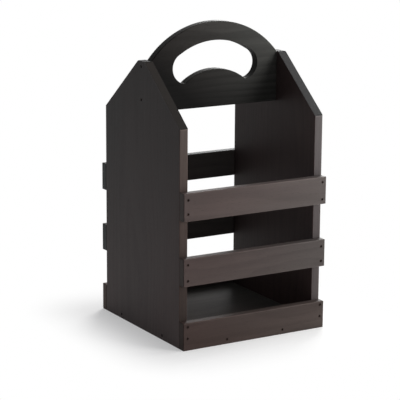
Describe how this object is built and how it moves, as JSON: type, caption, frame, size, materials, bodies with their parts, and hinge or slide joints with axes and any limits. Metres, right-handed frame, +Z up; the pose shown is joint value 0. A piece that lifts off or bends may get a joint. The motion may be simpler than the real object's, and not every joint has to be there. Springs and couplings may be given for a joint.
{
  "type": "wooden wine carrier",
  "caption": "Dark stained slatted wooden carrier for wine bottles, with gabled end boards joined by an arched handle board with a bean-shaped hand slot.",
  "frame": {"origin": "middle of the carrier's footprint, on the surface it stands on", "axes": "+Z up, +X along the slats towards the right end board, -Y towards the front slats"},
  "size_m": [0.1864, 0.192, 0.35],
  "materials": {
    "end_board_wood": "satin dark stain, upright grain",
    "slat_wood": "satin dark stain, lengthwise grain",
    "handle_wood": "satin dark stain, lengthwise grain",
    "base_wood": "satin dark stain, lengthwise grain",
    "brad_steel": "dulled by stain"
  },
  "bodies": {
    "root": {"left_end_board": "end_board_wood", "right_end_board": "end_board_wood", "base_board": "base_wood", "handle_board": "handle_wood", "front_bottom_slat": "slat_wood", "front_middle_slat": "slat_wood", "front_top_slat": "slat_wood", "back_bottom_slat": "slat_wood", "back_middle_slat": "slat_wood", "back_top_slat": "slat_wood", "front_bottom_slat_brads": "brad_steel", "front_middle_slat_brads": "brad_steel", "front_top_slat_brads": "brad_steel", "back_bottom_slat_brads": "brad_steel", "back_middle_slat_brads": "brad_steel", "back_top_slat_brads": "brad_steel", "front_base_brads": "brad_steel", "back_base_brads": "brad_steel", "left_base_brads": "brad_steel", "right_base_brads": "brad_steel", "left_handle_brads": "brad_steel", "right_handle_brads": "brad_steel"}
  },
  "joints": []
}
